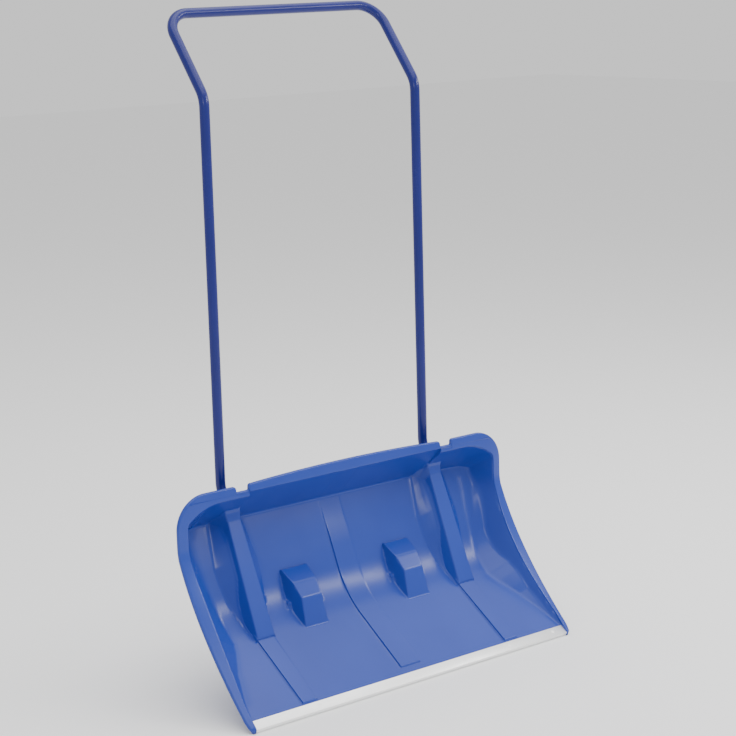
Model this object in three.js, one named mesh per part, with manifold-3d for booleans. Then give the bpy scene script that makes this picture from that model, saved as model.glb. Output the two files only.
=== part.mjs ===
// Wheeled snow pusher: a moulded scoop with an aluminium edge, pushed by a U-shaped handle of bent tube.
//
// Millimetres, +Z up. X runs across the width and the scoop opens towards -Y. The pusher stands upright on
// its front edge, and the origin is on the ground at the middle of its footprint.
//
// Side outlines are drawn as (forward, height) pairs: forward is measured from the plane of the handle's
// long legs towards the mouth of the scoop, and height from the ground.

import * as THREE from 'three';
import { mergeVertices } from 'three/addons/utils/BufferGeometryUtils.js';
import { ConvexGeometry } from 'three/addons/geometries/ConvexGeometry.js';
import Module from 'manifold-3d';

const wasm = await Module();
wasm.setup();

// ---- Driving dimensions -------------------------------------------------------------------------------

const FOOTPRINT_MIDDLE = 79.36;     // forward of the handle's legs, where the origin lies
const GROUND = 0.43;                // height of the wear strip's lowest corner
const GAP = 0.3;                    // clearance between neighbouring pieces

const WALL = 3.5;                   // thickness of the moulding
const BACK_LEAN = 23.5;             // degrees the back wall leans from the vertical
const FLOOR_PITCH = 33;             // degrees the floor falls towards the front
const HOOD_RISE = 39.6;             // degrees the hood rises towards the front
const SWEEP_CORNER = vec(85.1, 139); // where the lines of the back wall and the floor cross
const SWEEP_RADIUS = 190;
const BACK_LENGTH = 202;            // from the corner up to the crease under the hood
const FLOOR_LENGTH = 241.8;         // from the corner down to the front edge
const CREASE_RADIUS = 10;

const RIM_HALF_WIDTH = 411.5;
const RIM_TOP = 407.3;
const RIM_CORNER_RADIUS = 66;
const RIM_FOOT = -12;               // where the sides of the outline would meet the bottom, below the ground
const RIM_FOOT_RADIUS = 40;
const RIM_ARCH_RISE = 7;            // how far the rim rises in the middle, between the notches
const FLANGE_WIDTH = 21;
const SKIRT_DEPTH = 9;
const LIP_PLANE = 77;               // forward position of the rim's upper part
const LIP_SIDE_HEIGHT = 384.3;      // lower edge of the lip outside the notches
const LIP_MIDDLE_HEIGHT = 392.8;    // and between them
const RIM_BEND = vec(79.5, 290);
const RIM_CONTROL = vec(133, 157);
const RIM_OVER_FLOOR = 4;           // height of the rim over the floor at the front edge

const NOTCH_INNER = 244;
const NOTCH_OUTER = 274.5;
const NOTCH_FLOOR = 395;

const HOUSING_MIDDLE = 258.6;
const HOUSING_HEIGHT = 36;          // of the flat face over the back wall
const HOUSING_END = vec(134.7, 116.2);
const HOUSING_LENGTH = 253;
const HOUSING_TOP_HALF = 13.6;
const HOUSING_END_HALF = 20;
const HOUSING_DRAFT = 0.43;         // widening for each millimetre of depth
const HOUSING_TOP_REACH = 42;       // how far it runs on above the hood
const HOUSING_END_SLOPE = 1.2;      // lengthening of its lower end for each millimetre of depth

const STRIP_HEIGHT = 3.5;
const STRIP_END_BEVEL = 5;

const ARCH_MIDDLE = 131.4;
const ARCH_FACE = [                 // forward, height and half width of the edges across its faces
  [57.3, 213.4, 32],
  [93.2, 192.4, 28.5],
  [115.3, 165.8, 24],
  [130.8, 109.6, 28],
];
const ARCH_ROOT = [70, 135, 43];    // widest line, buried in the back wall

const AXLE = vec(86, 148.3);
const AXLE_RADIUS = 4;
const AXLE_HALF_LENGTH = 40.5;
const BOSS_RADIUS = 8;
const BOSS_INNER = 29;
const BOSS_OUTER = 45;
const WHEEL_RADIUS = 27;
const WHEEL_HALF_WIDTH = 13;
const HUB_RADIUS = 7.5;
const HUB_HALF_LENGTH = 27;

const TUBE_RADIUS = 10;
const TUBE_WALL = 1.5;
const LEG_MIDDLE = 259.6;
const UPPER_BEND_HEIGHT = 1149;
const CROSSBAR = vec(-122, 1303.3);
const UPPER_BEND_RADIUS = 54;
const LOWER_BEND_RADIUS = 54;
const CORNER_RADIUS = 50;
const TUBE_DEPTH = 14;              // of the tube's axis under the housing's flat face
const TUBE_END = 229;               // how far down the housing the tube reaches

const CLAMP_PLACES = [62, 192];     // distance down the housing
const CLAMP_LENGTH = 18;
const CLAMP_HALF_WIDTH = 18;
const CLAMP_THICKNESS = 1.5;
const CRADLE_LENGTH = 26;
const CRADLE_DEPTH = 22;            // of its rear face under the housing's flat face
const SCREW_OFFSET = 14;
const SCREW_RADIUS = 2;
const SCREW_LENGTH = 12;
const SCREW_HEAD_RADIUS = 3.9;
const SCREW_HEAD_HEIGHT = 2.6;

const EDGE_HALF_LENGTH = 398;
const EDGE_DEPTH = 19;
const EDGE_THICKNESS = 1.8;
const EDGE_NOSE = 2.2;
const EDGE_SEAT = 5;                // thickness of the scoop's floor inside the wear strip
const RIVET_COUNT = 7;
const RIVET_PITCH = 122;
const RIVET_RADIUS = 2;
const RIVET_HEAD_RADIUS = 3.7;

// ---- Directions and small geometry ----------------------------------------------------------------------

function vec(x, y) {
  return new THREE.Vector2(x, y);
}

/** The point at a distance along a direction. */
function along(point, direction, distance) {
  return point.clone().addScaledVector(direction, distance);
}

/** A direction in side view, at an angle in degrees above straight forward. */
function heading(degrees) {
  const angle = THREE.MathUtils.degToRad(degrees);
  return vec(Math.cos(angle), Math.sin(angle));
}

const BACK_DOWN = heading(BACK_LEAN - 90);
const BACK_OUT = heading(BACK_LEAN);
const FLOOR_OUT = heading(-FLOOR_PITCH);
const FLOOR_UP = heading(90 - FLOOR_PITCH);
const FRONT_EDGE = along(SWEEP_CORNER, FLOOR_OUT, FLOOR_LENGTH);
const CREASE = along(SWEEP_CORNER, BACK_DOWN, -BACK_LENGTH);
const HOUSING_TOP = along(HOUSING_END, BACK_DOWN, -HOUSING_LENGTH);

/** Points of an open or bent line whose inner corners are rounded: each entry is [point, radius]. */
function roundedLine(corners, degreesPerStep) {
  const points = [];
  corners.forEach(([corner, radius], index) => {
    if (!radius) {
      points.push(corner);
      return;
    }
    const before = corner.clone().sub(corners[index - 1][0]).normalize();
    const after = corners[index + 1][0].clone().sub(corner).normalize();
    const turn = before.angleTo(after);
    const start = corner.clone().addScaledVector(before, -radius * Math.tan(turn / 2));
    const inward = after.clone().sub(before).normalize();
    const centre = corner.clone().addScaledVector(inward, radius / Math.cos(turn / 2));
    const spoke = start.clone().sub(centre);
    const steps = Math.max(2, Math.round(THREE.MathUtils.radToDeg(turn) / degreesPerStep));
    for (let step = 0; step <= steps; step += 1) {
      const angle = (turn * step) / steps;
      points.push(
        centre.clone()
          .addScaledVector(spoke, Math.cos(angle))
          .addScaledVector(before, radius * Math.sin(angle)),
      );
    }
  });
  return points;
}

/** The same line moved sideways, to the right of its direction of travel, with mitred corners. */
function shifted(points, distance) {
  const normals = points.slice(1).map((point, index) => {
    const run = point.clone().sub(points[index]).normalize();
    return vec(run.y, -run.x);
  });
  return points.map((point, index) => {
    const before = normals[Math.max(index - 1, 0)];
    const after = normals[Math.min(index, normals.length - 1)];
    const mitre = before.clone().add(after);
    return along(point, mitre, (2 * distance) / mitre.lengthSq());
  });
}

// ---- Solids ---------------------------------------------------------------------------------------------

/** A closed geometry as a manifold solid. */
function solid(geometry) {
  geometry.deleteAttribute('normal');
  geometry.deleteAttribute('uv');
  const merged = mergeVertices(geometry, 1e-4);
  return new wasm.Manifold(new wasm.Mesh({
    numProp: 3,
    vertProperties: Float32Array.from(merged.attributes.position.array),
    triVerts: Uint32Array.from(merged.index.array),
  }));
}

function join(solids) {
  return solids.reduce((total, next) => total.add(next));
}

/** A named mesh made of a manifold solid. */
function piece(name, shape, material) {
  const { vertProperties, triVerts } = shape.getMesh();
  const geometry = new THREE.BufferGeometry();
  geometry.setAttribute('position', new THREE.BufferAttribute(vertProperties, 3));
  geometry.setIndex(new THREE.BufferAttribute(triVerts, 1));
  geometry.computeVertexNormals();
  const mesh = new THREE.Mesh(geometry, material);
  mesh.name = name;
  return mesh;
}

/** A side outline extruded across the width. */
function across(outline, halfWidth, middle = 0) {
  const geometry = new THREE.ExtrudeGeometry(new THREE.Shape(outline), {
    depth: 2 * halfWidth,
    bevelEnabled: false,
  });
  geometry.applyMatrix4(new THREE.Matrix4().makeBasis(
    new THREE.Vector3(0, -1, 0),
    new THREE.Vector3(0, 0, 1),
    new THREE.Vector3(-1, 0, 0),
  ));
  geometry.translate(middle + halfWidth, 0, 0);
  return solid(geometry);
}

/** A front outline of (x, height) extruded forward, from one forward position to another. */
function frontPrism(shape, from, to, curveSegments = 12) {
  const geometry = new THREE.ExtrudeGeometry(shape, { depth: to - from, bevelEnabled: false, curveSegments });
  geometry.applyMatrix4(new THREE.Matrix4().makeBasis(
    new THREE.Vector3(1, 0, 0),
    new THREE.Vector3(0, 0, 1),
    new THREE.Vector3(0, -1, 0),
  ));
  geometry.translate(0, -from, 0);
  return solid(geometry);
}

/** The convex solid around points given as [x, forward, height]. */
function hull(points) {
  const corners = points.map(([x, forward, height]) => new THREE.Vector3(x, -forward, height));
  return solid(new ConvexGeometry(corners));
}

/** A profile of (radius, position) points turned about an axis, closed on itself or on the axis. */
function turned(profile, segments, placement) {
  const geometry = new THREE.LatheGeometry(profile.map(([radius, place]) => vec(radius, place)), segments);
  geometry.applyMatrix4(placement);
  return solid(geometry);
}

/** Turns local Y into a direction and moves local zero to a place. */
function placed(x, point, direction) {
  const turn = new THREE.Quaternion().setFromUnitVectors(new THREE.Vector3(0, 1, 0), direction);
  return new THREE.Matrix4().compose(new THREE.Vector3(x, -point.x, point.y), turn, new THREE.Vector3(1, 1, 1));
}

/** A side-view direction as a direction in space. */
function spatial(direction) {
  return new THREE.Vector3(0, -direction.x, direction.y);
}

const ALONG_X = new THREE.Vector3(1, 0, 0);

/** A plain round bar from one distance to another along a direction. */
function bar(radius, from, to, segments, placement) {
  return turned([[0, from], [radius, from], [radius, to], [0, to]], segments, placement);
}

// ---- Scoop ----------------------------------------------------------------------------------------------

/** Everything behind the scoop's inner surface, moved back by an inset, as a side outline. */
function scoopSection(inset, lipHeight) {
  const lip = vec(LIP_PLANE, lipHeight);
  const hoodEnd = along(CREASE, lip.clone().sub(CREASE), 1.4);
  const frontEnd = along(FRONT_EDGE, FLOOR_OUT, 40);
  const [front, corner, crease, hood] = shifted([frontEnd, SWEEP_CORNER, CREASE, hoodEnd], -inset);
  const face = roundedLine([
    [front, 0],
    [corner, SWEEP_RADIUS + inset],
    [crease, CREASE_RADIUS + inset],
    [hood, 0],
  ], 4);
  return [...face, vec(hood.x, 600), vec(-300, 600), vec(-300, -300), vec(front.x, -300)];
}

/** The rim's upper face in side view, from the front edge up to above the lip. */
function rimLine() {
  const rimFront = along(FRONT_EDGE, FLOOR_UP, RIM_OVER_FLOOR);
  const curve = new THREE.QuadraticBezierCurve(rimFront, RIM_CONTROL, RIM_BEND);
  return [...curve.getPoints(10), vec(LIP_PLANE, 303), vec(LIP_PLANE, 450)];
}

/** A layer under the rim's face, as a side outline. */
function rimLayer(depth) {
  const face = rimLine();
  return [...face, ...shifted(face, -depth).reverse()];
}

/** The pusher's outline from the front, inset all round. */
function rimOutline(inset) {
  const half = RIM_HALF_WIDTH - inset;
  const top = RIM_TOP - inset;
  const foot = RIM_FOOT + inset;
  const radius = RIM_CORNER_RADIUS - inset;
  const footRadius = RIM_FOOT_RADIUS - inset;
  const shape = new THREE.Shape();
  shape.moveTo(-half + footRadius, foot);
  shape.lineTo(half - footRadius, foot);
  shape.absarc(half - footRadius, foot + footRadius, footRadius, -Math.PI / 2, 0);
  shape.lineTo(half, top - radius);
  shape.absarc(half - radius, top - radius, radius, 0, Math.PI / 2);
  shape.lineTo(NOTCH_INNER, top);
  shape.quadraticCurveTo(0, top + 2 * RIM_ARCH_RISE, -NOTCH_INNER, top);
  shape.lineTo(-half + radius, top);
  shape.absarc(-half + radius, top - radius, radius, Math.PI / 2, Math.PI);
  shape.lineTo(-half, foot + footRadius);
  shape.absarc(-half + footRadius, foot + footRadius, footRadius, Math.PI, 1.5 * Math.PI);
  return shape;
}

/** The hole in the rim that the scoop is filled through. */
function mouth() {
  const half = RIM_HALF_WIDTH - FLANGE_WIDTH;
  const radius = RIM_CORNER_RADIUS - FLANGE_WIDTH;
  const shape = new THREE.Shape();
  shape.moveTo(-half, -60);
  shape.lineTo(half, -60);
  shape.lineTo(half, LIP_SIDE_HEIGHT - radius);
  shape.absarc(half - radius, LIP_SIDE_HEIGHT - radius, radius, 0, Math.PI / 2);
  shape.lineTo(NOTCH_INNER, LIP_SIDE_HEIGHT);
  shape.lineTo(NOTCH_INNER, LIP_MIDDLE_HEIGHT);
  shape.lineTo(-NOTCH_INNER, LIP_MIDDLE_HEIGHT);
  shape.lineTo(-NOTCH_INNER, LIP_SIDE_HEIGHT);
  shape.lineTo(-half + radius, LIP_SIDE_HEIGHT);
  shape.absarc(-half + radius, LIP_SIDE_HEIGHT - radius, radius, Math.PI / 2, Math.PI);
  return shape;
}

/** A thick slab beyond a plane through three [x, forward, height] points, outside the scoop. */
function slabBeyond(points, inset) {
  const [a, b, c] = points.map(([x, forward, height]) => new THREE.Vector3(x, -forward, height));
  const plane = new THREE.Plane().setFromCoplanarPoints(a, b, c);
  const inside = new THREE.Vector3(0, -200, 200);
  const outward = plane.distanceToPoint(inside) > 0 ? plane.normal.clone().negate() : plane.normal.clone();
  const middle = a.clone().add(b).add(c).divideScalar(3);
  const size = 900;
  const geometry = new THREE.BoxGeometry(size, size, size);
  const turn = new THREE.Quaternion().setFromUnitVectors(new THREE.Vector3(0, 0, 1), outward);
  const centre = middle.addScaledVector(outward, size / 2 + inset);
  geometry.applyMatrix4(new THREE.Matrix4().compose(centre, turn, new THREE.Vector3(1, 1, 1)));
  return solid(geometry);
}

/** The faces of a side wall: an upright one at the top, a steep one and a shallow one over the floor. */
function sideWall(side, inset) {
  const edge = RIM_HALF_WIDTH - FLANGE_WIDTH;
  const upright = [[edge, LIP_PLANE, 281], [edge, LIP_PLANE, 400], [362, 10, 300]];
  const steep = [[edge, 82, 281.3], [edge, 241, 41.3], [362, 80.6, 191.7]];
  const shallow = [[325, 131, 109.3], [388, 267, 21.3], [edge, 218, 71.3]];
  return join([upright, steep, shallow].map((face) => slabBeyond(
    face.map(([x, forward, height]) => [side * x, forward, height]),
    inset,
  )));
}

/** A raised tube housing: a flat face parallel to the back wall, with drafted sides. */
function housing(side, inset) {
  const reach = 60;
  const shrink = inset * (Math.hypot(1, HOUSING_DRAFT) - HOUSING_DRAFT);
  const cut = inset * Math.hypot(1, HOUSING_END_SLOPE);
  const ends = [
    [HOUSING_TOP, HOUSING_TOP_HALF - shrink, () => -HOUSING_TOP_REACH],
    [HOUSING_END, HOUSING_END_HALF - shrink, (depth) => HOUSING_END_SLOPE * depth - cut],
  ];
  const points = [];
  for (const [place, half, lengthening] of ends) {
    for (const [depth, width] of [[inset, half], [reach, half + (reach - inset) * HOUSING_DRAFT]]) {
      const point = along(along(place, BACK_DOWN, lengthening(depth)), BACK_OUT, -depth);
      for (const edge of [-1, 1]) {
        points.push([side * HOUSING_MIDDLE + edge * width, point.x, point.y]);
      }
    }
  }
  return hull(points);
}

/** A raised wheel arch: faces wrapped round the wheel, with sides that spread towards the back wall. */
function wheelArch(side, inset) {
  const middle = vec(AXLE.x, AXLE.y);
  const points = [];
  for (const [forward, height, half] of [...ARCH_FACE, ARCH_ROOT]) {
    const outward = vec(forward, height).sub(middle);
    const place = along(vec(forward, height), outward.normalize(), -inset * 1.12);
    for (const edge of [-1, 1]) {
      points.push([side * ARCH_MIDDLE + edge * (half - inset), place.x, place.y]);
    }
  }
  return hull(points);
}

/** A flat strip raised over the back wall or the floor between two distances from the corner. */
function raisedStrip(middle, start, startHalf, end, endHalf, direction, up) {
  const points = [];
  const rings = [
    [start, startHalf, STRIP_HEIGHT],
    [start, startHalf + 1, -WALL / 2],
    [end - STRIP_END_BEVEL, endHalf, STRIP_HEIGHT],
    [end, endHalf + 1, -WALL / 2],
  ];
  for (const [distance, half, height] of rings) {
    const point = along(along(SWEEP_CORNER, direction, distance), up, height);
    points.push([middle - half, point.x, point.y], [middle + half, point.x, point.y]);
  }
  return hull(points);
}

/** The strip in the middle follows the back wall, the sweep and the floor. */
function middleStrip() {
  const half = 25;
  const face = roundedLine([
    [along(CREASE, BACK_DOWN, 38), 0],
    [SWEEP_CORNER, SWEEP_RADIUS],
    [along(SWEEP_CORNER, FLOOR_OUT, 200), 0],
  ], 4);
  return across([...shifted(face, -STRIP_HEIGHT), ...shifted(face, WALL / 2).reverse()], half);
}

/** Everything behind the moulding's face, moved back by an inset. */
function pressing(inset) {
  const sideHalf = (500 - NOTCH_INNER - inset) / 2;
  const sideMiddle = NOTCH_INNER + inset + sideHalf;
  const parts = [across(scoopSection(inset, LIP_MIDDLE_HEIGHT), 500)];
  for (const side of [-1, 1]) {
    parts.push(across(scoopSection(inset, LIP_SIDE_HEIGHT), sideHalf, side * sideMiddle));
    parts.push(sideWall(side, inset), housing(side, inset), wheelArch(side, inset));
  }
  return join(parts);
}

/** Blocks inside a housing, with a groove that the tube lies in. */
function cradles(side) {
  const body = housing(side, 0);
  const blocks = CLAMP_PLACES.map((place) => {
    const middle = along(HOUSING_TOP, BACK_DOWN, place);
    const corners = [
      [-CRADLE_LENGTH / 2, WALL / 2],
      [CRADLE_LENGTH / 2, WALL / 2],
      [CRADLE_LENGTH / 2, CRADLE_DEPTH],
      [-CRADLE_LENGTH / 2, CRADLE_DEPTH],
    ].map(([down, depth]) => along(along(middle, BACK_DOWN, down), BACK_OUT, -depth));
    return across(corners, 60, side * HOUSING_MIDDLE).intersect(body);
  });
  const axisTop = along(HOUSING_TOP, BACK_OUT, -TUBE_DEPTH);
  const groovePlace = placed(side * LEG_MIDDLE, axisTop, spatial(BACK_DOWN));
  const groove = bar(TUBE_RADIUS + GAP, -30, HOUSING_LENGTH - 10, 24, groovePlace);
  return join(blocks).subtract(groove);
}

/** Where each clamp screw enters, pointing forward into the cradle. */
function screwPlaces() {
  const places = [];
  for (const side of [-1, 1]) {
    CLAMP_PLACES.forEach((place, row) => {
      for (const edge of [-1, 1]) {
        const depth = CRADLE_DEPTH + GAP + CLAMP_THICKNESS;
        const seat = along(along(HOUSING_TOP, BACK_DOWN, place), BACK_OUT, -depth);
        places.push({
          label: `${side < 0 ? 'left' : 'right'}_${row + 1}_${edge < 0 ? 'a' : 'b'}`,
          matrix: placed(side * LEG_MIDDLE + edge * SCREW_OFFSET, seat, spatial(BACK_OUT)),
        });
      }
    });
  }
  return places;
}

/** Sockets that carry an axle, open to the rear through a mouth that the axle snaps past. */
function axleSockets(side) {
  const middle = side * ARCH_MIDDLE;
  const matrix = placed(middle, AXLE, ALONG_X);
  return join([-1, 1].map((end) => bar(
    BOSS_RADIUS,
    end < 0 ? -BOSS_OUTER : BOSS_INNER,
    end < 0 ? -BOSS_INNER : BOSS_OUTER,
    20,
    matrix,
  )));
}

function axleCavity(side) {
  const middle = side * ARCH_MIDDLE;
  const reach = AXLE_HALF_LENGTH + GAP;
  const bore = bar(AXLE_RADIUS + GAP, -reach, reach, 20, placed(middle, AXLE, ALONG_X));
  const mouthHalf = AXLE_RADIUS - 0.5;
  const rear = vec(-1, 0);
  const entry = [
    along(AXLE, vec(0, 1), mouthHalf),
    along(AXLE, vec(0, 1), -mouthHalf),
    along(along(AXLE, vec(0, 1), -mouthHalf), rear, 30),
    along(along(AXLE, vec(0, 1), mouthHalf), rear, 30),
  ];
  const openings = [-1, 1].map((end) => across(entry, 6, middle + end * (reach - 6)));
  return join([bore, ...openings]);
}

function wheelClearance(side) {
  return bar(WHEEL_RADIUS + 2, -WHEEL_HALF_WIDTH - 2, WHEEL_HALF_WIDTH + 2, 32,
    placed(side * ARCH_MIDDLE, AXLE, ALONG_X));
}

/** A point given as distance beyond the front edge and height over the floor. */
function atEdge(out, up) {
  return along(along(FRONT_EDGE, FLOOR_OUT, out), FLOOR_UP, up);
}

/** The floor is thicker inside the wear strip. */
function frontSeat() {
  const corners = [[-EDGE_DEPTH - 7, -1], [0, -1], [0, -EDGE_SEAT], [-EDGE_DEPTH - 3, -EDGE_SEAT]];
  return across(corners.map(([out, up]) => atEdge(out, up)), RIM_HALF_WIDTH);
}

/** Room for the wear strip: over the floor, round its front edge and under it. */
function edgeRoom() {
  const rear = -EDGE_DEPTH - GAP;
  const reach = 30;
  const corners = [
    [rear, 0],
    [0, 0],
    [0, -EDGE_SEAT],
    [rear, -EDGE_SEAT],
    [rear, -reach],
    [reach, -reach],
    [reach, reach],
    [rear, reach],
  ];
  return across(corners.map(([out, up]) => atEdge(out, up)), EDGE_HALF_LENGTH + GAP);
}

function scoop() {
  const outline = frontPrism(rimOutline(0), -200, 400);
  const inner = frontPrism(rimOutline(WALL), -200, 400);
  const face = rimLine();
  const behindRim = across([
    ...face,
    vec(-200, 450),
    vec(-200, -80),
    along(FRONT_EDGE, FLOOR_UP, -120),
  ], 500);
  const shell = pressing(0).subtract(pressing(WALL)).intersect(behindRim);
  const flange = across(rimLayer(WALL), 500).subtract(frontPrism(mouth(), -200, 400));
  const skirt = across(rimLayer(SKIRT_DEPTH), 500).subtract(inner);
  const floorStrips = [-1, 1].map((side) => raisedStrip(
    side * HOUSING_MIDDLE, 53, 19.5, 220, 16.5, FLOOR_OUT, FLOOR_UP,
  ));
  let body = join([shell, middleStrip(), ...floorStrips, flange, skirt, frontSeat()]).intersect(outline);
  body = body.subtract(edgeRoom());
  for (const side of [-1, 1]) {
    body = body.add(cradles(side)).add(axleSockets(side));
    body = body.subtract(axleCavity(side)).subtract(wheelClearance(side));
    const notch = across([
      vec(LIP_PLANE - 20, NOTCH_FLOOR),
      vec(LIP_PLANE + 20, NOTCH_FLOOR),
      vec(LIP_PLANE + 20, 460),
      vec(LIP_PLANE - 20, 460),
    ], (NOTCH_OUTER - NOTCH_INNER) / 2, (side * (NOTCH_OUTER + NOTCH_INNER)) / 2);
    body = body.subtract(notch);
  }
  for (const { matrix } of screwPlaces()) {
    body = body.subtract(bar(SCREW_RADIUS + GAP, -1, SCREW_LENGTH + 1, 12, matrix));
  }
  for (const matrix of rivetPlaces()) {
    body = body.subtract(bar(RIVET_RADIUS + GAP, -20, 20, 12, matrix));
  }
  return body;
}

// ---- Wear strip -----------------------------------------------------------------------------------------

const EDGE_TOP = GAP + EDGE_THICKNESS;
const EDGE_BOTTOM = -EDGE_SEAT - GAP - EDGE_THICKNESS;

function wearStrip() {
  const bevel = 0.8;
  const nose = GAP + EDGE_NOSE;
  const outline = [
    [-EDGE_DEPTH, GAP],
    [-EDGE_DEPTH, EDGE_TOP],
    [nose - bevel, EDGE_TOP],
    [nose, EDGE_TOP - bevel],
    [nose, EDGE_BOTTOM + bevel],
    [nose - bevel, EDGE_BOTTOM],
    [-EDGE_DEPTH, EDGE_BOTTOM],
    [-EDGE_DEPTH, EDGE_BOTTOM + EDGE_THICKNESS],
    [GAP, EDGE_BOTTOM + EDGE_THICKNESS],
    [GAP, GAP],
  ].map(([out, up]) => atEdge(out, up));
  let strip = across(outline, EDGE_HALF_LENGTH);
  for (const matrix of rivetPlaces()) {
    strip = strip.subtract(rivetShape(matrix, GAP));
  }
  return strip;
}

function rivetPlaces() {
  const places = [];
  for (let index = 0; index < RIVET_COUNT; index += 1) {
    const x = (index - (RIVET_COUNT - 1) / 2) * RIVET_PITCH;
    places.push(placed(x, atEdge(-EDGE_DEPTH / 2, 0), spatial(FLOOR_UP)));
  }
  return places;
}

/** A rivet with a countersunk head flush with the strip's top and a shank flush with its underside. */
function rivetShape(matrix, growth) {
  const over = growth > 0 ? 5 : 0;
  const shank = RIVET_RADIUS + growth;
  const head = RIVET_HEAD_RADIUS + growth;
  const headDepth = RIVET_HEAD_RADIUS - RIVET_RADIUS;
  const above = growth > 0 ? [[head, EDGE_TOP + over], [0, EDGE_TOP + over]] : [[0, EDGE_TOP]];
  return turned([
    [0, EDGE_BOTTOM - over],
    [shank, EDGE_BOTTOM - over],
    [shank, EDGE_TOP - headDepth],
    [head, EDGE_TOP],
    ...above,
  ], 12, matrix);
}

// ---- Handle ---------------------------------------------------------------------------------------------

/** A path through given stations, one for each extrusion step. */
class StationPath extends THREE.Curve {
  constructor(stations) {
    super();
    this.stations = stations;
  }

  getPoint(t, target = new THREE.Vector3()) {
    const place = Math.min(Math.max(t, 0), 1) * (this.stations.length - 1);
    const index = Math.min(Math.floor(place), this.stations.length - 2);
    return target.lerpVectors(this.stations[index], this.stations[index + 1], place - index);
  }

  getPointAt(u, target) {
    return this.getPoint(u, target);
  }

  getTangentAt(u, target) {
    return this.getTangent(u, target);
  }
}

/** The handle's centre line, from the lower end of the left leg to that of the right leg. */
function handleStations() {
  const axis = along(HOUSING_TOP, BACK_OUT, -TUBE_DEPTH);
  const lowerEnd = along(axis, BACK_DOWN, TUBE_END);
  const lowerBend = along(axis, BACK_DOWN, -axis.x / BACK_DOWN.x);
  const corners = [
    [lowerEnd, 0],
    [lowerBend, LOWER_BEND_RADIUS],
    [vec(0, UPPER_BEND_HEIGHT), UPPER_BEND_RADIUS],
    [CROSSBAR, CORNER_RADIUS],
  ];
  const leg = (side, list) => list.map(([point, radius]) => [
    new THREE.Vector3(side * LEG_MIDDLE, -point.x, point.y),
    radius,
  ]);
  return roundedLine([...leg(-1, corners), ...leg(1, [...corners].reverse())], 8);
}

function handle() {
  const stations = handleStations();
  const section = new THREE.Shape().absarc(0, 0, TUBE_RADIUS, 0, 2 * Math.PI);
  section.holes.push(new THREE.Path().absarc(0, 0, TUBE_RADIUS - TUBE_WALL, 0, 2 * Math.PI, true));
  return solid(new THREE.ExtrudeGeometry(section, {
    steps: stations.length - 1,
    curveSegments: 16,
    extrudePath: new StationPath(stations),
  }));
}

/** A plug with a rounded cap that closes the lower end of a leg. */
function tubePlug(side) {
  const axis = along(HOUSING_TOP, BACK_OUT, -TUBE_DEPTH);
  const end = placed(side * LEG_MIDDLE, along(axis, BACK_DOWN, TUBE_END), spatial(BACK_DOWN));
  const shank = TUBE_RADIUS - TUBE_WALL - GAP;
  return turned([
    [0, -14],
    [shank - 0.8, -14],
    [shank, -13],
    [shank, GAP],
    [TUBE_RADIUS, GAP],
    [TUBE_RADIUS, 2],
    [TUBE_RADIUS - 1.5, 3.4],
    [0, 3.8],
  ], 20, end);
}

/** A pressed steel saddle over the tube, with a flat ear on each side. */
function clamp(side, place) {
  const seat = CRADLE_DEPTH + GAP;
  const inner = TUBE_RADIUS + GAP;
  const outer = inner + CLAMP_THICKNESS;
  const innerAngle = Math.asin((seat - TUBE_DEPTH) / inner);
  const outerAngle = Math.asin((seat + CLAMP_THICKNESS - TUBE_DEPTH) / outer);
  const shape = new THREE.Shape();
  shape.moveTo(-CLAMP_HALF_WIDTH, seat - TUBE_DEPTH);
  shape.absarc(0, 0, inner, Math.PI - innerAngle, innerAngle, true);
  shape.lineTo(CLAMP_HALF_WIDTH, seat - TUBE_DEPTH);
  shape.lineTo(CLAMP_HALF_WIDTH, seat - TUBE_DEPTH + CLAMP_THICKNESS);
  shape.absarc(0, 0, outer, outerAngle, Math.PI - outerAngle);
  shape.lineTo(-CLAMP_HALF_WIDTH, seat - TUBE_DEPTH + CLAMP_THICKNESS);
  const geometry = new THREE.ExtrudeGeometry(shape, {
    depth: CLAMP_LENGTH,
    bevelEnabled: false,
    curveSegments: 10,
  });
  geometry.translate(0, 0, -CLAMP_LENGTH / 2);
  const point = along(along(HOUSING_TOP, BACK_OUT, -TUBE_DEPTH), BACK_DOWN, place);
  const matrix = new THREE.Matrix4().makeBasis(
    new THREE.Vector3(-1, 0, 0),
    spatial(BACK_OUT).negate(),
    spatial(BACK_DOWN),
  ).setPosition(side * LEG_MIDDLE, -point.x, point.y);
  geometry.applyMatrix4(matrix);
  let body = solid(geometry);
  for (const screw of screwPlaces()) {
    body = body.subtract(bar(SCREW_RADIUS + GAP, -5, 5, 12, screw.matrix));
  }
  return body;
}

/** A pan-head screw: its head sits just clear of the clamp's ear. */
function clampScrew(matrix) {
  return turned([
    [0, -GAP - SCREW_HEAD_HEIGHT],
    [SCREW_HEAD_RADIUS * 0.6, -GAP - SCREW_HEAD_HEIGHT],
    [SCREW_HEAD_RADIUS, -GAP - SCREW_HEAD_HEIGHT * 0.5],
    [SCREW_HEAD_RADIUS, -GAP],
    [SCREW_RADIUS, -GAP],
    [SCREW_RADIUS, SCREW_LENGTH - 2],
    [0, SCREW_LENGTH],
  ], 12, matrix);
}

// ---- Wheels ---------------------------------------------------------------------------------------------

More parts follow.
